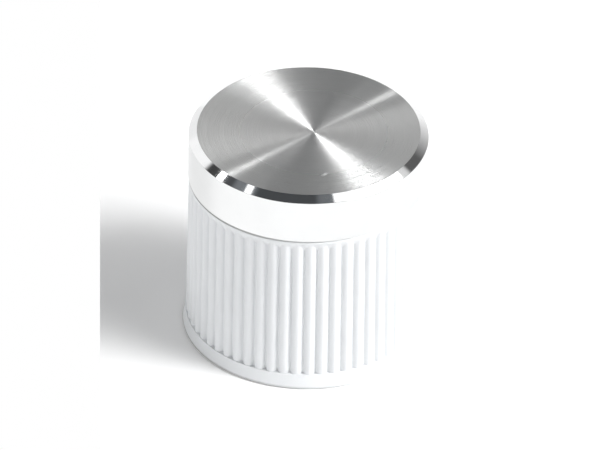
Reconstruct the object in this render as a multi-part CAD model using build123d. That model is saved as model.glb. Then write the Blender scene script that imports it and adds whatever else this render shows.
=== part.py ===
from build123d import *
import os
from math import pi, radians, tan

# Push-on control knob: a white moulded body with a reeded skirt under a turned aluminium cap.
# Millimetres. Z is the shaft's axis, and z = 0 is the plane that the skirt's base stands on.

# Whole knob
overall_height = 15.3
cut_overrun = 0.5             # how far a cutting shape passes the face that it cuts

# Aluminium cap, a turned cup
cap_diameter = 16.0
cap_height = 3.5
cap_wall = 0.8
cap_top_thickness = 0.9
cap_chamfer_width = 0.56      # bright chamfer, measured across the face
cap_chamfer_drop = 0.35       # bright chamfer, measured down the side
cap_edge_break = 0.08         # lower outside edge
cap_inside_radius = 0.25      # inside corner left by the turning tool

# Cap on the body's neck
neck_clearance = 0.03         # radial
glue_gap = 0.1                # over the neck's top
neck_corner_clearance = 0.1   # neck's top edge inside the cap's inside corner

# Reeded skirt: round ribs half sunk in a core, with narrow valleys between them
skirt_inset = 0.05            # crests inside the cap's side at the seam
skirt_draft = 0.5             # degrees
rib_count = 58
rib_phase = -1.05             # degrees from +X to the middle of the first rib
rib_depth = 0.25
rib_radius_share = 0.47       # of the rib pitch at the seam
rib_runout = 0.6              # height over which the valleys come up to the plain band
top_land = 0.2                # plain band between the ribs and the seam
land_step = 0.02              # band outside the rib crests
seam_edge_break = 0.08        # upper outside edge

# Plain rim below the ribs
rim_height = 1.07
rim_step = 0.04               # rim's top edge outside the rib crests
rim_flare = 0.19              # and its base outside its top edge
rim_base_chamfer = 0.1

# Hollow underside
skirt_wall = 1.5              # under the rib valleys at the seam
shoulder_thickness = 1.3      # of the ledge that carries the cap
neck_wall = 1.3
roof_thickness = 1.3
cavity_draft = 0.5            # degrees
cavity_mouth_chamfer = 0.25

# Hub and shaft bore, for a 6 mm shaft with 18 serrations
bore_diameter = 5.5           # over the lands of the serrations
bore_cover = 1.8              # left over the bore's blind end
bore_lead_in = 0.3            # chamfer past the serrations' roots
serration_count = 18
serration_depth = 0.27
serration_mouth_share = 0.4   # groove mouth as a share of the serration pitch
serration_floor_share = 0.5   # groove floor as a share of its mouth
hub_wall = 1.65               # round the serrations' roots
hub_recess = 2.5              # hub's end above the base, clear of a panel nut
hub_end_chamfer = 0.3

# Webs between hub and skirt
web_count = 4
web_thickness = 0.9
web_recess = 1.2              # webs' lower edges above the hub's end
web_root = 0.15               # how far a web runs into the walls that it joins

# Places worked out from the sizes above
seam_height = overall_height - cap_height
cap_radius = cap_diameter / 2
cap_inner_radius = cap_radius - cap_wall
cap_inside_top = overall_height - cap_top_thickness
neck_radius = cap_inner_radius - neck_clearance
neck_top = cap_inside_top - glue_gap
neck_lead_in = cap_inside_radius + neck_corner_clearance
roof_height = neck_top - roof_thickness
shoulder_underside = seam_height - shoulder_thickness
skirt_top_radius = cap_radius - skirt_inset
cavity_top_radius = skirt_top_radius - rib_depth - skirt_wall
neck_cavity_radius = neck_radius - neck_wall
bore_radius = bore_diameter / 2
bore_end = neck_top - bore_cover
serration_radius = bore_radius + serration_depth
hub_radius = serration_radius + hub_wall


def crest_radius_at(height):
    # Distance of the rib crests from the axis: the skirt widens downwards by its draft
    return skirt_top_radius + (seam_height - height) * tan(radians(skirt_draft))


def cavity_radius_at(height):
    return cavity_top_radius + (shoulder_underside - height) * tan(radians(cavity_draft))


def turned(*points):
    # Solid of revolution about Z from a closed half-section given as (radius, height) points
    section = Polyline(*[(radius, 0, height) for radius, height in points], close=True)
    return revolve(make_face(section), Axis.Z)


def rib():
    # One round rod that leans out with the draft, from inside the rim to inside the plain band
    radius = rib_radius_share * 2 * pi * skirt_top_radius / rib_count
    foot_height = rim_height / 2
    head_height = seam_height - top_land / 2
    foot = Vector(crest_radius_at(foot_height) - radius, 0, foot_height)
    head = Vector(crest_radius_at(head_height) - radius, 0, head_height)
    return extrude(Plane(foot, z_dir=head - foot) * Circle(radius), (head - foot).length)


def reeded_skirt():
    # The core lies at the bottom of the valleys, and a cone brings it out to the plain band under the cap
    core_foot = rim_height / 2
    land_foot = seam_height - top_land
    runout_foot = land_foot - rib_runout
    edge_foot = seam_height - seam_edge_break
    core = turned(
        (0, core_foot),
        (crest_radius_at(core_foot) - rib_depth, core_foot),
        (crest_radius_at(runout_foot) - rib_depth, runout_foot),
        (crest_radius_at(land_foot) + land_step, land_foot),
        (crest_radius_at(edge_foot) + land_step, edge_foot),
        (crest_radius_at(seam_height) + land_step - seam_edge_break, seam_height),
        (0, seam_height),
    )
    return core + PolarLocations(0, rib_count, rib_phase) * rib()


def base_rim():
    # Flared from just outside the rib crests to its full width at the base
    top_radius = crest_radius_at(rim_height) + rim_step
    rim = turned((0, 0), (top_radius + rim_flare, 0), (top_radius, rim_height), (0, rim_height))
    base_edge = rim.edges().filter_by(GeomType.CIRCLE).sort_by(Axis.Z)[0]
    return chamfer(base_edge, rim_base_chamfer)


def neck():
    # Spigot under the cap, started inside the skirt so that the two run into one solid
    return turned(
        (0, shoulder_underside),
        (neck_radius, shoulder_underside),
        (neck_radius, neck_top - neck_lead_in),
        (neck_radius - neck_lead_in, neck_top),
        (0, neck_top),
    )


def cavity():
    # Stepped hollow under the shoulder and the neck, widening towards its mouth
    neck_rise = roof_height - shoulder_underside
    return turned(
        (0, -cut_overrun),
        (cavity_radius_at(0) + cavity_mouth_chamfer + cut_overrun, -cut_overrun),
        (cavity_radius_at(0), cavity_mouth_chamfer),
        (cavity_top_radius, shoulder_underside),
        (neck_cavity_radius + neck_rise * tan(radians(cavity_draft)), shoulder_underside),
        (neck_cavity_radius, roof_height),
        (0, roof_height),
    )


def hub():
    return turned(
        (0, hub_recess),
        (hub_radius - hub_end_chamfer, hub_recess),
        (hub_radius, hub_recess + hub_end_chamfer),
        (hub_radius, roof_height + web_root),
        (0, roof_height + web_root),
    )


def web():
    # One radial web: wide below the shoulder, narrower up inside the neck
    foot = hub_recess + web_recess
    inner = (serration_radius + hub_radius) / 2
    skirt_reach = cavity_radius_at(foot) + web_root
    neck_reach = neck_cavity_radius + web_root
    outline = Polyline(
        (inner, 0, foot),
        (skirt_reach, 0, foot),
        (skirt_reach, 0, shoulder_underside + web_root),
        (neck_reach, 0, shoulder_underside + web_root),
        (neck_reach, 0, roof_height + web_root),
        (inner, 0, roof_height + web_root),
        close=True,
    )
    return extrude(make_face(outline), web_thickness / 2, both=True)


def serration_groove():
    # Outline of one groove, begun inside the bore's circle on the line of its own flanks
    mouth = serration_mouth_share * 2 * pi * bore_radius / serration_count
    floor = serration_floor_share * mouth
    foot = mouth + (mouth - floor)
    outline = Polyline(
        (bore_radius - serration_depth, -foot / 2),
        (serration_radius, -floor / 2),
        (serration_radius, floor / 2),
        (bore_radius - serration_depth, foot / 2),
        close=True,
    )
    return make_face(outline)


def shaft_bore():
    # Round blind bore with a groove for each serration of the shaft, and a conical lead-in at its mouth
    section = Circle(bore_radius) + PolarLocations(0, serration_count) * serration_groove()
    start = hub_recess - cut_overrun
    bore = extrude(Pos(0, 0, start) * section, bore_end - start)
    lead_radius = serration_radius + bore_lead_in
    lead_in = turned(
        (0, start),
        (lead_radius + cut_overrun, start),
        (0, hub_recess + lead_radius),
    )
    return bore + lead_in


def knob_body():
    shell = reeded_skirt() + base_rim() + neck() - cavity()
    webs = [Rot(0, 0, turn * 360 / web_count) * web() for turn in range(web_count)]
    return shell + hub() + webs - shaft_bore()


def aluminium_cap():
    cup = turned(
        (0, cap_inside_top),
        (cap_inner_radius, cap_inside_top),
        (cap_inner_radius, seam_height),
        (cap_radius - cap_edge_break, seam_height),
        (cap_radius, seam_height + cap_edge_break),
        (cap_radius, overall_height - cap_chamfer_drop),
        (cap_radius - cap_chamfer_width, overall_height),
        (0, overall_height),
    )
    circles = cup.edges().filter_by(GeomType.CIRCLE)
    inside_corner = circles.sort_by(lambda edge: abs(edge.arc_center.Z - cap_inside_top))[0]
    return fillet(inside_corner, cap_inside_radius)


os.makedirs("parts", exist_ok=True)
export_step(knob_body(), "parts/knob_body.step")
export_step(aluminium_cap(), "parts/aluminium_cap.step")
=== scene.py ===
from math import cos, pi, radians, sin, tan

import bpy
import numpy as np
from mathutils import Matrix, Vector


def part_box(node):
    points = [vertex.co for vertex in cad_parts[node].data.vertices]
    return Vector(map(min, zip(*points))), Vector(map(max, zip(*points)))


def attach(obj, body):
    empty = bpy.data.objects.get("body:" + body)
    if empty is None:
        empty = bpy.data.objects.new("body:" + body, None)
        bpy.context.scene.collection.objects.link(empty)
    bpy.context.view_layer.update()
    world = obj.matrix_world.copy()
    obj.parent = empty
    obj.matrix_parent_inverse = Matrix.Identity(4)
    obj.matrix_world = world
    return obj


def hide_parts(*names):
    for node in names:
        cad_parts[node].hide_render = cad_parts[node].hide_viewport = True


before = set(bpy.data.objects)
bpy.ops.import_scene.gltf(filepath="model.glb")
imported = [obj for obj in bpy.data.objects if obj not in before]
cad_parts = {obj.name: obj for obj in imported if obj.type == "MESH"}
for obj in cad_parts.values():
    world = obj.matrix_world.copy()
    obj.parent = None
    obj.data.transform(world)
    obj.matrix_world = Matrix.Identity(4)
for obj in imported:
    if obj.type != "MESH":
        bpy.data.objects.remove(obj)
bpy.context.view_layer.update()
capLow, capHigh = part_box("aluminium_cap")
bodyLow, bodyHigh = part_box("knob_body")
mm = 0.001
print("frame loaded:", ", ".join(sorted(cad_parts)))


class Wire:
    # One socket of a node tree; arithmetic on it adds Math nodes to that tree
    def __init__(self, socket):
        self.socket = socket

    @staticmethod
    def node(tree, kind, settings=None, inputs=None, output=0):
        made = tree.nodes.new(kind)
        for key, value in (settings or {}).items():
            setattr(made, key, value)
        for key, value in (inputs or {}).items():
            if isinstance(value, Wire):
                tree.links.new(value.socket, made.inputs[key])
            else:
                made.inputs[key].default_value = value
        return Wire(made.outputs[output]) if made.outputs else None

    def math(self, operation, *values):
        tree = self.socket.id_data
        return Wire.node(tree, "ShaderNodeMath", {"operation": operation}, dict(enumerate(values)))

    def __add__(self, other):
        return self.math("ADD", self, other)

    def __radd__(self, other):
        return self.math("ADD", other, self)

    def __sub__(self, other):
        return self.math("SUBTRACT", self, other)

    def __rsub__(self, other):
        return self.math("SUBTRACT", other, self)

    def __mul__(self, other):
        return self.math("MULTIPLY", self, other)

    def __rmul__(self, other):
        return self.math("MULTIPLY", other, self)

    def __truediv__(self, other):
        return self.math("DIVIDE", self, other)

    def __pow__(self, other):
        return self.math("POWER", self, other)


def newMaterial(name):
    material = bpy.data.materials.new(name)
    material.use_nodes = True
    material.node_tree.nodes.clear()
    return material, material.node_tree


def principled(tree, inputs):
    return Wire.node(tree, "ShaderNodeBsdfPrincipled", {}, inputs)


def finishMaterial(tree, shader):
    Wire.node(tree, "ShaderNodeOutputMaterial", {}, {"Surface": shader})


def smooth(wire, low, high, start=0.0, end=1.0):
    # start below low, end above high, and an S-curve between them
    return Wire.node(wire.socket.id_data, "ShaderNodeMapRange", {"interpolation_type": "SMOOTHSTEP"},
                     {"Value": wire, "From Min": low, "From Max": high, "To Min": start, "To Max": end})


def straight(wire, start, slope):
    # start, and the slope more for each unit of the wire
    return start + wire * slope


def swing(wire, share):
    # noise lies about 0.5, and this turns it into a change about zero
    return (wire - 0.5) * share


def blendColour(tree, factor, first, second):
    # first at 0 and second at 1; either is a colour or a wire that carries one, and the Mix node's sockets
    # for colours are 6, 7 and, going out, 2
    first, second = [end if isinstance(end, Wire) else (*end, 1) for end in (first, second)]
    return Wire.node(tree, "ShaderNodeMix", {"data_type": "RGBA"}, {0: factor, 6: first, 7: second}, 2)


def placeOn(tree):
    # the point's place in millimetres, as a vector and as x, y and z
    metres = Wire.node(tree, "ShaderNodeTexCoord", output="Object")
    place = Wire.node(tree, "ShaderNodeVectorMath", {"operation": "SCALE"}, {0: metres, "Scale": 1 / mm})
    return place, [Wire.node(tree, "ShaderNodeSeparateXYZ", {}, {0: place}, axis) for axis in "XYZ"]


def noise(tree, place, perMillimetre, detail=2.0, roughness=0.5):
    return Wire.node(tree, "ShaderNodeTexNoise", {}, {
        "Vector": place, "Scale": perMillimetre, "Detail": detail, "Roughness": roughness})


def ringNoise(tree, distance, perMillimetre, detail=2.0):
    # noise that changes with one distance alone, so it draws rings or level lines
    return Wire.node(tree, "ShaderNodeTexNoise", {"noise_dimensions": "1D"}, {
        "W": distance, "Scale": perMillimetre, "Detail": detail})


def bump(tree, height, depth, strength):
    # depth is in millimetres
    return Wire.node(tree, "ShaderNodeBump", {}, {
        "Height": height, "Distance": depth * mm, "Strength": strength})


def shellOf(rings, startPole, endPole):
    # rings is rows x columns x 3: each row closes on itself, and the poles close the first and the last row
    rows, columns, _ = rings.shape
    points = np.concatenate([[startPole], rings.reshape(-1, 3), [endPole]])
    here = 1 + np.arange(rows * columns).reshape(rows, columns)
    beside = np.roll(here, -1, axis=1)
    quads = np.stack([here[:-1], here[1:], beside[1:], beside[:-1]], axis=-1).reshape(-1, 4)
    first = np.stack([np.zeros(columns, int), here[0], beside[0]], axis=-1)
    last = np.stack([here[-1], np.full(columns, len(points) - 1), beside[-1]], axis=-1)
    return points, quads.tolist() + first.tolist() + last.tolist()


def addPiece(name, shells, node, sharpAngle):
    # joins the shells, in millimetres, into one mesh that stands for a CAD node
    points, faces = [], []
    for shellPoints, shellFaces in shells:
        offset = sum(len(group) for group in points)
        points.append(shellPoints)
        faces += [[corner + offset for corner in face] for face in shellFaces]
    mesh = bpy.data.meshes.new(name)
    mesh.from_pydata(np.concatenate(points) * mm, [], faces)
    mesh.polygons.foreach_set("use_smooth", np.ones(len(mesh.polygons), bool))
    mesh.set_sharp_from_angle(angle=radians(sharpAngle))
    mesh.validate()
    piece = bpy.data.objects.new(name, mesh)
    bpy.context.scene.collection.objects.link(piece)
    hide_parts(node)
    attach(piece, "root")
    print(name, "has", len(mesh.vertices), "vertices and", len(mesh.polygons), "faces")
    return piece


def roundedProfile(corners, steps=4, support=1.6):
    # (radius, height, rounding) corners; a rounded one becomes an arc tangent to both of its sides,
    # with one more point on each side that keeps the flat beside it flat
    profile = []
    for index, (radius, height, rounding) in enumerate(corners):
        corner = np.array([radius, height])
        if rounding == 0:
            profile.append(corner)
            continue
        before = np.array(corners[index - 1][:2]) - corner
        after = np.array(corners[index + 1][:2]) - corner
        before, after = before / np.linalg.norm(before), after / np.linalg.norm(after)
        halfAngle = np.arccos(np.clip(before @ after, -1, 1)) / 2
        reach = rounding / np.tan(halfAngle)
        middle = (before + after) / np.linalg.norm(before + after)
        centre = corner + middle * rounding / np.sin(halfAngle)
        start, end = corner + before * reach - centre, corner + after * reach - centre
        turn = np.linspace(0, 1, steps + 1)[:, None]
        sweep = pi - 2 * halfAngle
        arc = centre + (np.sin((1 - turn) * sweep) * start + np.sin(turn * sweep) * end) / np.sin(sweep)
        profile += [corner + before * reach * support, *arc, corner + after * reach * support]
    return np.array(profile)


def ringsAt(distance, angles, height):
    # points at a distance from the axis, an angle round it and a height, spread over rows and columns
    ahead, aside = distance * np.cos(angles), distance * np.sin(angles)
    return np.stack(np.broadcast_arrays(ahead, aside, height), axis=-1)


def turnedRings(profile, angles):
    # each profile point (radius, height) swept round the axis at the given angles
    return ringsAt(profile[:, :1], angles, profile[:, 1:])


paintedShade = {                     # painted shade: a dark tint for the shadow in the seam gap and the contact shadow at the foot, stronger towards -X, away from the key light
    "colour": (0.35, 0.35, 0.34),
    "seam": (0.12, -0.1),     # strength on the axis, and its change with each millimetre along X
    "foot": (0.4, -0.06),
    "onCap": (0.06, 0.12),    # heights from the seam between which it fades, as in the next two
    "onBody": (-0.11, -0.05),
    "onNeck": (0.01, 0.04),
    "overBase": (0.1, 0.28),  # and heights from the base
}

cap = {
    "columns": 480,
    "top": capHigh.z / mm,
    "seam": capLow.z / mm,
    "radius": capHigh.x / mm,
    "wall": 0.8,
    "topThickness": 0.9,
    "chamferWidth": 0.56,     # across the face
    "chamferDrop": 0.35,      # down the side
    "edgeBreak": 0.08,
    "insideRadius": 0.25,
    "faceEdge": 0.02,         # rounding between the face and the chamfer
    "sideEdge": 0.03,         # and between the chamfer and the side
    "poleRadius": 0.02,       # of the smallest ring round the axis
    "sharpAngle": 30,         # degrees
}

spunFace = {
    "centre": (0.357, -0.142),  # the face was spun a little off the axis
    "dark": (0.77, 0.775, 0.77),
    "pale": (0.9, 0.902, 0.895),
    "fineRings": (14.0, 3.0),   # a noise's scale to the millimetre and its detail, as in the next three
    "broadRings": (1.6, 1.0),
    "cloud": (0.5, 2.0),
    "grain": (13.0, 1.0),
    "fineTone": 0.5,            # how far each of the four moves the tone between dark and pale
    "broadTone": 0.35,
    "cloudTone": 0.2,
    "grainTone": 0.7,
    "tone": 0.4,
    "paintedShadeSlope": -0.065,        # painted shade: the face darker towards +X, for each millimetre along X
    "centreReach": (0.5, 6.0),  # distances from the centre between which the next two fade out
    "centreTone": 0.6,
    "centreRoughness": 0.2,
    "roughness": 0.25,
    "broadRoughness": 0.03,
    "ringsPerMillimetre": 23.0,
    "shiftScale": 9.0,          # noise that puts the rings out of step, and by how many radians
    "shift": 6,
    "leanScale": 24.0,          # noise in how far they lean, with the least lean and what it adds
    "lean": (0.3, 0.8),
    "spreadShare": 0.38,        # part of the sheen that spreads alike in all directions
    "spreadRoughness": 0.43,
}

faceNick = {                    # small pale scratch on the face
    "place": (1.12, -5.03),
    "size": 0.34,
    "coreShare": 0.3,           # of its size, marked in full
    "heading": (0.79, 0.62),
    "narrowing": 2.4,
    "edgeScale": 9.0,           # noise that makes its edge ragged, and how far
    "ragged": 0.3,
    "colour": (0.95, 0.95, 0.95),
    "lean": (0.16, -0.24),
    "roughness": 0.3,
}


def nickOn(tree, place, x, y):
    # 1 in the scratch and 0 outside it: the distance from its middle, counted more across its heading
    nickX, nickY = faceNick["place"]
    aheadX, aheadY = faceNick["heading"]
    along = (x - nickX) * aheadX + (y - nickY) * aheadY
    across = ((y - nickY) * aheadX - (x - nickX) * aheadY) * faceNick["narrowing"]
    edge = swing(noise(tree, place, faceNick["edgeScale"]), faceNick["ragged"])
    away = (along * along + across * across) ** 0.5 + edge
    return smooth(away, faceNick["coreShare"] * faceNick["size"], faceNick["size"], 1.0, 0.0)


def spunFaceMaterial():
    # Spun aluminium: the normal leans in and out as a sine of the distance from the spun centre, and the
    # sheen is drawn out across those rings; nearer the centre it blurs and the tone pales, and along X the
    # tone falls as painted shade
    material, tree = newMaterial("spunAluminiumFace")
    place, (x, y, _) = placeOn(tree)
    centreX, centreY = spunFace["centre"]
    outX, outY = x - centreX, y - centreY
    distance = (outX * outX + outY * outY) ** 0.5
    nearCentre = smooth(distance, *spunFace["centreReach"], 1.0, 0.0)
    nick = nickOn(tree, place, x, y)
    fine = ringNoise(tree, distance, *spunFace["fineRings"])
    broad = ringNoise(tree, distance, *spunFace["broadRings"])
    cloud = noise(tree, place, *spunFace["cloud"])
    grain = noise(tree, place, *spunFace["grain"])
    tone = swing(fine, spunFace["fineTone"]) + swing(broad, spunFace["broadTone"])
    tone = tone + swing(cloud, spunFace["cloudTone"]) + swing(grain, spunFace["grainTone"])
    # painted shade: the tone falls along X
    tone = tone + nearCentre * spunFace["centreTone"] + spunFace["tone"] + x * spunFace["paintedShadeSlope"]
    turned = blendColour(tree, tone, spunFace["dark"], spunFace["pale"])
    colour = blendColour(tree, nick, turned, faceNick["colour"])
    wave = distance * (2 * pi * spunFace["ringsPerMillimetre"])
    wave = wave + ringNoise(tree, distance, spunFace["shiftScale"]) * spunFace["shift"]
    swell = straight(ringNoise(tree, distance, spunFace["leanScale"]), *spunFace["lean"])
    lean = wave.math("SINE", wave) * swell * (1 - nick) / distance
    nickX, nickY = faceNick["lean"]
    upright = Wire.node(tree, "ShaderNodeCombineXYZ", {}, {
        "X": outX * lean + nick * nickX, "Y": outY * lean + nick * nickY, "Z": 1.0})
    normal = Wire.node(tree, "ShaderNodeVectorMath", {"operation": "NORMALIZE"}, {0: upright})
    roughness = nearCentre * spunFace["centreRoughness"] + spunFace["roughness"]
    roughness = roughness + swing(broad, spunFace["broadRoughness"]) + nick * faceNick["roughness"]
    drawnOut = principled(tree, {
        "Base Color": colour,
        "Metallic": 1.0,
        "Roughness": roughness,
        "Anisotropic": 1.0,
        "Anisotropic Rotation": 0.25,  # a quarter turn, from along the rings to across them
        "Normal": normal,
    })
    spread = principled(tree, {
        "Base Color": colour, "Metallic": 1.0, "Roughness": spunFace["spreadRoughness"], "Normal": normal})
    sheen = Wire.node(tree, "ShaderNodeMixShader", {}, {0: spunFace["spreadShare"], 1: drawnOut, 2: spread})
    finishMaterial(tree, sheen)
    return material


brightChamfer = {
    "dark": (0.84, 0.845, 0.85),
    "pale": (0.91, 0.912, 0.915),
    "cloudScale": 1.2,
    "lineScale": 60.0,
    "roughness": (0.045, 0.03),   # the least, and what the lines add
    "lineRelief": (0.0006, 0.2),  # depth in millimetres, and strength
}


def cutChamferMaterial():
    # Bright cut: nearly a mirror, with very fine tool lines round it
    material, tree = newMaterial("brightCutChamfer")
    place, (x, y, _) = placeOn(tree)
    lines = ringNoise(tree, (x * x + y * y) ** 0.5, brightChamfer["lineScale"])
    cloud = noise(tree, place, brightChamfer["cloudScale"])
    finishMaterial(tree, principled(tree, {
        "Base Color": blendColour(tree, cloud, brightChamfer["dark"], brightChamfer["pale"]),
        "Metallic": 1.0,
        "Roughness": straight(lines, *brightChamfer["roughness"]),
        "Normal": bump(tree, lines, *brightChamfer["lineRelief"]),
    }))
    return material


satinSide = {
    "dark": (0.845, 0.853, 0.855),
    "pale": (0.905, 0.91, 0.91),
    "cloudScale": 0.6,
    "lines": (30.0, 3.0),         # scale to the millimetre, and detail
    "lineTone": 0.5,
    "roughness": (0.26, 0.08),
    "lineRelief": (0.001, 0.2),
}


def satinSideMaterial():
    # Turned side: fine lines round it at each height, and painted shade at the seam, a dark tint for the
    # shadow in the gap
    material, tree = newMaterial("satinAluminiumSide")
    place, (x, _, z) = placeOn(tree)
    lines = ringNoise(tree, z, *satinSide["lines"])
    tone = swing(lines, satinSide["lineTone"]) + noise(tree, place, satinSide["cloudScale"])
    clean = blendColour(tree, tone, satinSide["dark"], satinSide["pale"])
    # painted shade: mask for the seam's shadow, darker towards -X
    groove = smooth(z, *[cap["seam"] + rise for rise in paintedShade["onCap"]], 1.0, 0.0)
    finishMaterial(tree, principled(tree, {
        "Base Color": blendColour(tree, groove * straight(x, *paintedShade["seam"]), clean, paintedShade["colour"]),
        "Metallic": 1.0,
        "Roughness": straight(lines, *satinSide["roughness"]),
        "Normal": bump(tree, lines, *satinSide["lineRelief"]),
    }))
    return material


capInside = {
    "dark": (0.66, 0.66, 0.655),
    "pale": (0.78, 0.78, 0.775),
    "lineScale": 12.0,
    "roughness": (0.4, 0.12),
    "lineRelief": (0.004, 0.4),
}


def insideCapMaterial():
    # Unpolished turning inside the cup
    material, tree = newMaterial("turnedAluminiumInside")
    _, (x, y, z) = placeOn(tree)
    lines = ringNoise(tree, z + (x * x + y * y) ** 0.5, capInside["lineScale"])
    finishMaterial(tree, principled(tree, {
        "Base Color": blendColour(tree, lines, capInside["dark"], capInside["pale"]),
        "Metallic": 1.0,
        "Roughness": straight(lines, *capInside["roughness"]),
        "Normal": bump(tree, lines, *capInside["lineRelief"]),
    }))
    return material


def buildCap():
    # Turned cup: its half-section runs out over the face, down the side and back up inside, and is swept
    # round the axis
    top, seam, radius = cap["top"], cap["seam"], cap["radius"]
    faceRadius = radius - cap["chamferWidth"]
    chamferFoot = top - cap["chamferDrop"]
    innerRadius = radius - cap["wall"]
    innerTop = top - cap["topThickness"]
    profile = roundedProfile([
        (cap["poleRadius"], top, 0),
        (faceRadius, top, cap["faceEdge"]),
        (radius, chamferFoot, cap["sideEdge"]),
        (radius, seam + cap["edgeBreak"], 0),
        (radius - cap["edgeBreak"], seam, 0),
        (innerRadius, seam, 0),
        (innerRadius, innerTop, cap["insideRadius"]),
        (cap["poleRadius"], innerTop, 0),
    ])
    angles = np.linspace(0, 2 * pi, cap["columns"], endpoint=False)
    shell = shellOf(turnedRings(profile, angles), (0, 0, top), (0, 0, innerTop))
    piece = addPiece("cap_turning", [shell], "aluminium_cap", cap["sharpAngle"])
    # the sheen's direction runs round the middle of the texture space, so that is set on the spun centre
    piece.data.use_auto_texspace = False
    piece.data.texspace_location = [place * mm for place in (*spunFace["centre"], (top + seam) / 2)]
    piece.data.texspace_size = [size * mm for size in (radius, radius, (top - seam) / 2)]
    for material in (spunFaceMaterial(), cutChamferMaterial(), satinSideMaterial(), insideCapMaterial()):
        piece.data.materials.append(material)
    # each face takes its material, in that order, from where its middle lies
    centres = np.empty(len(piece.data.polygons) * 3)
    piece.data.polygons.foreach_get("center", centres)
    x, y, z = centres.reshape(-1, 3).T / mm
    out = np.hypot(x, y)
    onFace = (z > top - cap["faceEdge"]) & (out < faceRadius)
    onChamfer = (z > chamferFoot) & ~onFace
    inside = (out < (radius + innerRadius) / 2) & (z < chamferFoot)
    zone = np.where(onFace, 0, np.where(inside, 3, np.where(onChamfer, 1, 2)))
    piece.data.polygons.foreach_set("material_index", zone.astype(np.int32))


body = {
    "seam": cap["seam"],
    "neckTop": bodyHigh.z / mm,
    "neckRadius": 7.17,
    "neckLeadIn": 0.35,
    "skirtInset": 0.05,       # crests inside the cap's side at the seam
    "draft": 0.5,             # degrees
    "ribs": 58,
    "ribPhase": -1.05,        # degrees
    "ribDepth": 0.25,
    "ribRadiusShare": 0.47,   # of the rib pitch
    "crestPoints": 15,
    "valleyPoints": 8,
    "ribRows": 6,
    "runout": 0.6,
    "runoutRows": 14,
    "runoutBlend": 0.03,
    "topLand": 0.2,
    "landStep": 0.02,
    "seamEdge": 0.08,
    "rimHeight": 1.07,
    "rimStep": 0.04,
    "rimWidest": min(bodyHigh.x, bodyHigh.y, -bodyLow.x, -bodyLow.y) / mm,
    "rimChamfer": 0.1,
    "rimEdge": 0.03,          # rounding of the rim's top edge
    "rimLedge": 0.1,          # length of ledge that gives this rounding its direction
    "cavityTop": 6.2,
    "cavityDraft": 0.5,       # degrees
    "mouthChamfer": 0.25,
    "shoulderUnderside": 10.5,
    "neckCavity": 5.87,
    "roof": 13.0,
    "hubRadius": 4.67,
    "hubEnd": 2.5,
    "hubChamfer": 0.3,
    "boreRadius": 2.75,
    "boreEnd": 12.5,
    "serrations": 18,
    "serrationRadius": 3.02,
    "serrationMouth": 0.384,
    "serrationFloor": 0.192,
    "flankPoints": 4,         # on each side of a serration
    "leadIn": 0.3,
    "webs": 4,
    "webThickness": 0.9,
    "webFoot": 3.7,
    "webRoot": 0.15,
    "poleRadius": 0.05,       # of the smallest rings round the axis
    "sharpAngle": 35,         # degrees
}


def crestAt(height):
    # the skirt widens downwards by its draft
    atSeam = cap["radius"] - body["skirtInset"]
    return atSeam + (body["seam"] - height) * tan(radians(body["draft"]))


def cavityAt(height):
    # and so does the hollow inside it
    return body["cavityTop"] + (body["shoulderUnderside"] - height) * tan(radians(body["cavityDraft"]))


def ribOutline(tip):
    # Distance from the axis and angle of each point of the ribbed outline, one row for each tip radius:
    # a crest is an arc about a centre inside the tip, and the valley an arc tangent to the crests beside it
    tip = np.asarray(tip)[:, None]
    halfPitch = pi / body["ribs"]
    crest = body["ribRadiusShare"] * 2 * pi * crestAt(body["seam"]) / body["ribs"]
    root = tip - body["ribDepth"]
    crestCentre = tip - crest
    across = crestCentre * cos(halfPitch)
    valley = (crest**2 - crestCentre**2 - root**2 + 2 * root * across) / (2 * (root - across - crest))
    valleyCentre = root + valley
    crestTurn = np.arctan2(valleyCentre * sin(halfPitch), valleyCentre * cos(halfPitch) - crestCentre)
    valleyTurn = np.arctan2(crestCentre * sin(halfPitch), valleyCentre - across)
    onCrest = crestTurn * np.linspace(-1, 1, body["crestPoints"])
    inValley = valleyTurn * np.linspace(-1, 1, body["valleyPoints"] + 2)[1:-1]
    crestAhead = crestCentre + crest * np.cos(onCrest)
    valleyAhead = valleyCentre - valley * np.cos(inValley)
    ahead = np.concatenate([crestAhead, valleyAhead], axis=1)
    aside = np.concatenate([crest * np.sin(onCrest), valley * np.sin(inValley)], axis=1)
    turn = np.arctan2(aside, ahead)
    turn[:, body["crestPoints"]:] += halfPitch
    distance = np.tile(np.hypot(ahead, aside), (1, body["ribs"]))
    steps = radians(body["ribPhase"]) + np.repeat(np.arange(body["ribs"]) * 2 * halfPitch, turn.shape[1])
    return distance, np.tile(turn, (1, body["ribs"])) + steps


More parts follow.
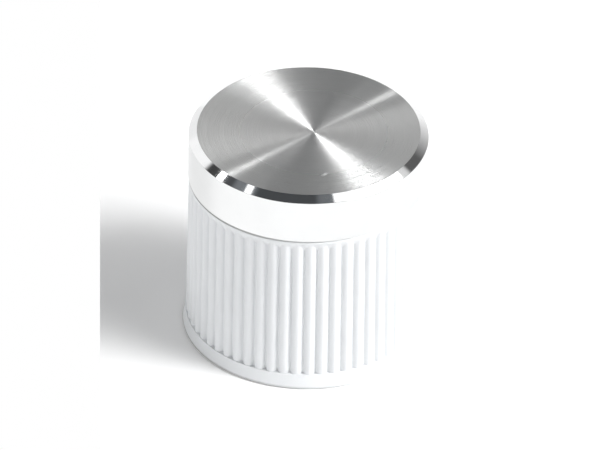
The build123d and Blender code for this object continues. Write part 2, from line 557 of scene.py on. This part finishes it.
def skirtShell():
    # Neck, shoulder, plain band, ribs, rim and hollow underside as one closed surface of rings; the ribs run
    # out where a cone passes them, by the larger of the two distances, blended as half of their sum and gap
    seam, landFoot = body["seam"], body["seam"] - body["topLand"]
    runoutFoot, rimTop = landFoot - body["runout"], body["rimHeight"]
    landRadius = crestAt(landFoot) + body["landStep"]
    edgeFoot = seam - body["seamEdge"]
    above = roundedProfile([
        (body["poleRadius"], body["neckTop"], 0),
        (body["neckRadius"] - body["neckLeadIn"], body["neckTop"], 0),
        (body["neckRadius"], body["neckTop"] - body["neckLeadIn"], 0),
        (body["neckRadius"], seam, 0),
        (crestAt(seam) + body["landStep"] - body["seamEdge"], seam, 0),
        (crestAt(edgeFoot) + body["landStep"], edgeFoot, 0),
        (landRadius, landFoot, 0),
    ])
    down = np.concatenate([np.linspace(landFoot, runoutFoot, body["runoutRows"] + 1)[1:],
                           np.linspace(runoutFoot, rimTop, body["ribRows"] + 1)[1:]])
    distance, angles = ribOutline(crestAt(down))
    slope = (body["landStep"] + body["ribDepth"]) / body["runout"]
    cone = (landRadius - (landFoot - down) * slope)[:, None]
    gap = np.sqrt((distance - cone) ** 2 + body["runoutBlend"] ** 2)
    distance = np.minimum((distance + cone + gap) / 2, np.maximum(crestAt(down), landRadius)[:, None])
    ribRings = ringsAt(distance, angles, down[:, None])
    rimRadius = crestAt(rimTop) + body["rimStep"]
    below = roundedProfile([
        (rimRadius - body["rimLedge"], rimTop, 0),
        (rimRadius, rimTop, body["rimEdge"]),
        (body["rimWidest"], body["rimChamfer"], 0),
        (body["rimWidest"] - body["rimChamfer"], 0, 0),
        (cavityAt(0) + body["mouthChamfer"], 0, 0),
        (cavityAt(0), body["mouthChamfer"], 0),
        (body["cavityTop"], body["shoulderUnderside"], 0),
        (body["neckCavity"], body["shoulderUnderside"], 0),
        (body["neckCavity"], body["roof"], 0),
        (body["poleRadius"], body["roof"], 0),
    ])[1:]
    rings = np.concatenate([turnedRings(above, angles[:1]), ribRings, turnedRings(below, angles[-1:])])
    return shellOf(rings, (0, 0, body["neckTop"]), (0, 0, body["roof"]))


def hubShell():
    # Round hub whose bore is a circle with one flat-bottomed groove for each serration of the shaft
    pitch = 2 * pi / body["serrations"]
    floorTurn = body["serrationFloor"] / 2 / body["serrationRadius"]
    mouthTurn = body["serrationMouth"] / 2 / body["boreRadius"]
    flank = np.linspace(floorTurn, mouthTurn, body["flankPoints"])
    half = np.array([0, *flank, (mouthTurn + pitch / 2) / 2, pitch / 2])
    groove = np.interp(half, [0, floorTurn, mouthTurn, pitch / 2],
                       [body["serrationRadius"]] * 2 + [body["boreRadius"]] * 2)
    turn = np.concatenate([-half[:0:-1], half[:-1]])
    bore = np.tile(np.concatenate([groove[:0:-1], groove[:-1]]), body["serrations"])
    angles = (turn + pitch * np.arange(body["serrations"])[:, None]).reshape(1, -1)
    root, end, radius = body["roof"] + body["webRoot"], body["hubEnd"], body["hubRadius"]
    leadRadius = body["serrationRadius"] + body["leadIn"]
    outside = np.array([
        (body["poleRadius"], root),
        (radius, root),
        (radius, end + body["hubChamfer"]),
        (radius - body["hubChamfer"], end),
        (leadRadius, end),
    ])
    boreHeights = np.stack([end + leadRadius - bore, np.full_like(bore, body["boreEnd"])])
    rings = np.concatenate([turnedRings(outside, angles), ringsAt(bore, angles, boreHeights)])
    return shellOf(rings, (0, 0, root), (0, 0, body["boreEnd"]))


def webShell(turn):
    # One radial web: a rectangle carried down from the roof, wider where it passes out of the neck
    inner = (body["serrationRadius"] + body["hubRadius"]) / 2
    shoulder, root = body["shoulderUnderside"] + body["webRoot"], body["roof"] + body["webRoot"]
    reach = np.array([body["neckCavity"]] * 2 + [cavityAt(body["webFoot"])] * 2) + body["webRoot"]
    height = np.array([root, shoulder, shoulder, body["webFoot"]])
    half = body["webThickness"] / 2
    near = np.full_like(reach, inner)
    ahead = np.stack([near, reach, reach, near], axis=1)
    flat = np.stack(np.broadcast_arrays(ahead, [-half, -half, half, half], height[:, None]), axis=-1)
    spin = np.array(Matrix.Rotation(turn, 3, "Z"))
    middle = (inner + body["neckCavity"]) / 2
    points, faces = shellOf(flat, (middle, 0, root), (middle, 0, body["webFoot"]))
    return points @ spin.T, faces


mouldedPlastic = {
    "dark": (0.75, 0.766, 0.782),
    "pale": (0.785, 0.8, 0.814),
    "cloud": (0.35, 3.0),         # scale to the millimetre, and detail
    "grain": (18.0, 4.0, 0.6),    # and how much of it is in the detail
    "roughness": (0.36, 0.14),    # the least, and what the grain adds
    "grainRelief": (0.003, 0.35),
}


def mouldedPlasticMaterial():
    # Satin white moulding: a faint cloud in the colour, a very fine grain in gloss and height, and painted
    # shade: a dark tint for the shadow in the seam and the contact shadow at the foot, stronger towards -X
    material, tree = newMaterial("satinWhitePlastic")
    place, (x, _, z) = placeOn(tree)
    cloud = noise(tree, place, *mouldedPlastic["cloud"])
    grain = noise(tree, place, *mouldedPlastic["grain"])
    clean = blendColour(tree, cloud, mouldedPlastic["dark"], mouldedPlastic["pale"])
    # painted shade: masks for the seam's shadow and the contact shadow at the foot
    underSeam = smooth(z, *[body["seam"] + rise for rise in paintedShade["onBody"]])
    groove = underSeam * smooth(z, *[body["seam"] + rise for rise in paintedShade["onNeck"]], 1.0, 0.0)
    foot = smooth(z, *paintedShade["overBase"], 1.0, 0.0)
    paintedShadeAmount = groove * straight(x, *paintedShade["seam"]) + foot * straight(x, *paintedShade["foot"])
    finishMaterial(tree, principled(tree, {
        "Base Color": blendColour(tree, paintedShadeAmount, clean, paintedShade["colour"]),
        "Roughness": straight(grain, *mouldedPlastic["roughness"]),
        "Normal": bump(tree, grain, *mouldedPlastic["grainRelief"]),
    }))
    return material


def buildBody():
    webs = [webShell(2 * pi * turn / body["webs"]) for turn in range(body["webs"])]
    shells = [skirtShell(), hubShell(), *webs]
    piece = addPiece("body_moulding", shells, "knob_body", body["sharpAngle"])
    piece.data.materials.append(mouldedPlasticMaterial())


floorSheet = {
    "reach": 0.6,             # metres
    "edge": -0.0138,          # the sheet ends on the left, where the picture's own margin starts
    "edgeSlope": -0.0206,
    "colour": (0.96, 0.96, 0.96),
    "lift": 0.08,
}


def buildFloor():
    # Plain white sheet with its left edge in view, a little brighter to the camera than its light makes it
    reach, edge = floorSheet["reach"], floorSheet["edge"]
    slant = floorSheet["edgeSlope"] * reach
    corners = [(edge - slant, -reach, 0), (reach, -reach, 0), (reach, reach, 0), (edge + slant, reach, 0)]
    mesh = bpy.data.meshes.new("floor_sheet")
    mesh.from_pydata(corners, [], [(0, 1, 2, 3)])
    floor = bpy.data.objects.new("floor_sheet", mesh)
    bpy.context.scene.collection.objects.link(floor)
    material, tree = newMaterial("whiteSheet")
    matte = Wire.node(tree, "ShaderNodeBsdfDiffuse", {}, {"Color": (*floorSheet["colour"], 1)})
    glow = Wire.node(tree, "ShaderNodeEmission", {}, {"Strength": floorSheet["lift"]})
    lifted = Wire.node(tree, "ShaderNodeAddShader", {}, {0: matte, 1: glow})
    toCamera = Wire.node(tree, "ShaderNodeLightPath", output="Is Camera Ray")
    seen = Wire.node(tree, "ShaderNodeMixShader", {}, {0: toCamera, 1: matte, 2: lifted})
    finishMaterial(tree, seen)
    mesh.materials.append(material)


keyWay = (0.667, -0.238, 0.705)
keyLongSide = (0.147, -0.226, -0.155)
lamps = {
    # direction from the knob, direction of the long side, half angles across and along, brightness
    "keyCore": (keyWay, keyLongSide, (6, 11), 13.0),
    "keyMiddle": (keyWay, keyLongSide, (12.5, 13), 8.5),
    "keyOuter": (keyWay, keyLongSide, (16, 15), 2.8),
    "keyWide": ((0.618, -0.106, 0.771), keyLongSide, (20.7, 22), 1.25),
    "leftStrip": ((-0.5965, 0.2782, 0.7529), (0.302, 0.273, 0.141), (1.9, 13), 6.3),
    "highStrip": ((-0.461, 0.028, 0.887), (0.305, 0.27, 0.153), (1.95, 2.5), 1.3),
}
lampDistance = 2.0            # metres
lampAim = (0, 0, 0.012)       # a point on the axis, inside the knob


def buildLamps():
    # Each lamp is a rectangle square to its direction; its power is its brightness times pi times its area
    for name, (way, longSide, halfAngles, level) in lamps.items():
        back = Vector(way).normalized()
        along = Vector(longSide)
        along = (along - back * along.dot(back)).normalized()
        across = along.cross(back)
        data = bpy.data.lights.new(name, "AREA")
        data.shape = "RECTANGLE"
        data.size, data.size_y = [2 * lampDistance * tan(radians(angle)) for angle in halfAngles]
        data.energy = level * pi * data.size * data.size_y
        light = bpy.data.objects.new(name, data)
        place = Vector(lampAim) + back * lampDistance
        turn = Matrix((across, along, back)).transposed().to_4x4()
        light.matrix_world = Matrix.Translation(place) @ turn
        light.visible_camera = False
        bpy.context.scene.collection.objects.link(light)


surroundings = {
    "below": 1.1,             # brightness under the horizon, past the sheet's edge
    "foot": 1.15,             # at the foot of the walls
    "frontLift": 0.1,         # more of it in front, less behind
    "top": 0.12,              # at their top
    "overhead": 0.07,
    "overheadColour": (0.94, 1.0, 1.06),
    "horizon": (0, 0.04),     # sines of the elevations between which each passes into the next
    "wall": (0.05, 0.5),
    "wallTop": (0.69, 0.76),
    "front": (0, -1, 0),
    "darkSide": (0.643, -0.766, 0),  # the side to which the dark overhead keeps, and where it ends
    "darkEdge": (-0.66, -0.6),
    "cards": [                # direction, cosines at its edge and inside it, brightness
        ((0, 1, 0.06), (0.95, 0.985), 0.45),
        ((-0.46, 0.88, 0.15), (0.965, 0.98), 0.95),
        ((-0.45, 0.58, 0.68), (0.975, 0.99), 0.5),
        ((-0.636, 0.36, 0.682), (0.99, 0.995), 0.05),
        ((-0.6266, 0.6144, 0.479), (0.962, 0.98), 1.05),
        ((-0.49, 0.062, 0.87), (0.99, 0.998), 0.2),
        ((0.37, 0.58, 0.725), (0.975, 0.992), 0.32),
        ((0.6393, 0.3703, 0.6738), (0.996, 0.9999), 0.75),
        ((0.16, -0.14, 0.977), (0.9945, 0.9995), 0.17),
        ((-0.9, -0.4, 0.2), (0.8, 0.95), 1.25),
        ((-0.65, 0.57, -0.5), (0.86, 0.96), 0.9),
    ],
}


def buildSurroundings():
    # A room whose walls darken as they rise, dark and a little blue overhead on one side, with round cards
    # of other brightness laid over it in turn; white where the camera looks past the sheet
    world = bpy.data.worlds.new("paleRoom")
    bpy.context.scene.world = world
    world.use_nodes = True
    tree = world.node_tree
    tree.nodes.clear()
    towards = Wire.node(tree, "ShaderNodeTexCoord", output="Generated")
    rise = Wire.node(tree, "ShaderNodeSeparateXYZ", {}, {0: towards}, "Z")

    def facing(way):
        # cosine of the angle to that way
        ends = {0: towards, 1: Vector(way).normalized()}
        return Wire.node(tree, "ShaderNodeVectorMath", {"operation": "DOT_PRODUCT"}, ends, "Value")

    above = smooth(rise, *surroundings["horizon"])
    climb = Wire.node(tree, "ShaderNodeMapRange", {}, {
        "Value": rise, "From Min": surroundings["wall"][0], "From Max": surroundings["wall"][1],
        "To Min": surroundings["foot"], "To Max": surroundings["top"]})
    walls = climb * (facing(surroundings["front"]) * surroundings["frontLift"] + 1)
    level = walls * above + (1 - above) * surroundings["below"]
    onDarkSide = smooth(facing(surroundings["darkSide"]), *surroundings["darkEdge"])
    overhead = smooth(rise, *surroundings["wallTop"]) * onDarkSide
    level = level * (1 - overhead) + overhead * surroundings["overhead"]
    for way, cosines, brightness in surroundings["cards"]:
        card = smooth(facing(way), *cosines)
        level = level * (1 - card) + card * brightness
    toCamera = Wire.node(tree, "ShaderNodeLightPath", output="Is Camera Ray")
    strength = level * (1 - toCamera) + toCamera
    colour = blendColour(tree, overhead * (1 - toCamera), (1, 1, 1), surroundings["overheadColour"])
    shader = Wire.node(tree, "ShaderNodeBackground", {}, {"Color": colour, "Strength": strength})
    Wire.node(tree, "ShaderNodeOutputWorld", {}, {"Surface": shader})


camera = {
    "distance": 1.0,          # metres
    "elevation": 35.113,      # degrees, as are the next three
    "pan": -0.0274,
    "tilt": 0.0181,
    "roll": -0.932,
    "aimHeight": 0.008,
    "focalPixels": 14971.1,
    "imageWidth": 600,
    "sensorWidth": 36,
    "clip": (0.05, 5),
}


def buildCamera():
    # Looks along +Y and down at the axis, then turns by the small pan, tilt and roll
    data = bpy.data.cameras.new("photoCamera")
    data.sensor_width = camera["sensorWidth"]
    data.lens = camera["focalPixels"] / camera["imageWidth"] * camera["sensorWidth"]
    data.clip_start, data.clip_end = camera["clip"]
    elevation = radians(camera["elevation"])
    back = Vector((0, -cos(elevation), sin(elevation)))
    place = back * camera["distance"] + Vector((0, 0, camera["aimHeight"]))
    turns = (Matrix.Rotation(pi / 2 - elevation - radians(camera["tilt"]), 4, "X")
             @ Matrix.Rotation(-radians(camera["pan"]), 4, "Y")
             @ Matrix.Rotation(-radians(camera["roll"]), 4, "Z"))
    shot = bpy.data.objects.new("photoCamera", data)
    shot.matrix_world = Matrix.Translation(place) @ turns
    bpy.context.scene.collection.objects.link(shot)
    bpy.context.scene.camera = shot


buildCap()
buildBody()
buildFloor()
print("floor sheet laid")
buildLamps()
buildSurroundings()
print("lamps and surroundings set:", len(lamps), "lamps and", len(surroundings["cards"]), "cards")
buildCamera()
bpy.context.scene.view_settings.view_transform = "Standard"
print("camera set")
